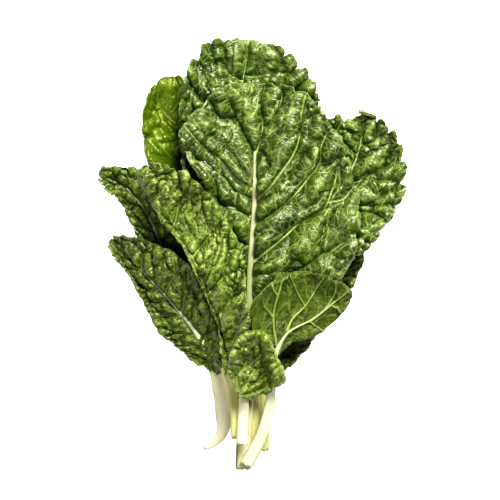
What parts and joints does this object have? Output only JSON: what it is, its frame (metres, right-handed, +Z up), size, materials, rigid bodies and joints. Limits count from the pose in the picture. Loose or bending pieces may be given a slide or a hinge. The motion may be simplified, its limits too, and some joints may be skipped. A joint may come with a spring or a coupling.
{
  "type": "chard bunch",
  "caption": "Bunch of white-stalked chard lying flat, with broad puckered green leaves fanned out from a bundle of cut stalks.",
  "frame": {"origin": "on the surface that the bunch lies on, under the middle of its outline", "axes": "+Y from the cut stalks to the leaf tips, +X to the right seen from above, +Z up"},
  "size_m": [0.31, 0.4348, 0.0836],
  "materials": {
    "green_blade": "glossy, puckered, dark green leaf with pale yellow-green veins",
    "pale_blade": "glossy, smooth, light yellow-green leaf",
    "white_stalk": "moist, satin, creamy white flesh with fine lengthwise ribs",
    "yellow_stalk": "moist, satin, pale yellow-green flesh with fine lengthwise ribs"
  },
  "bodies": {
    "root": {"left_back_blade": "green_blade", "left_back_stalk": "white_stalk", "left_pale_blade": "pale_blade", "left_pale_stalk": "white_stalk", "right_low_back_blade": "green_blade", "right_low_back_stalk": "yellow_stalk", "right_back_blade": "green_blade", "right_back_stalk": "yellow_stalk", "crown_blade": "green_blade", "crown_stalk": "yellow_stalk", "left_low_blade": "green_blade", "left_low_stalk": "white_stalk", "main_blade": "green_blade", "main_stalk": "white_stalk", "right_low_blade": "green_blade", "right_low_stalk": "white_stalk", "left_mid_blade": "green_blade", "left_mid_stalk": "yellow_stalk", "front_small_blade": "green_blade", "front_small_stalk": "white_stalk"}
  },
  "joints": []
}
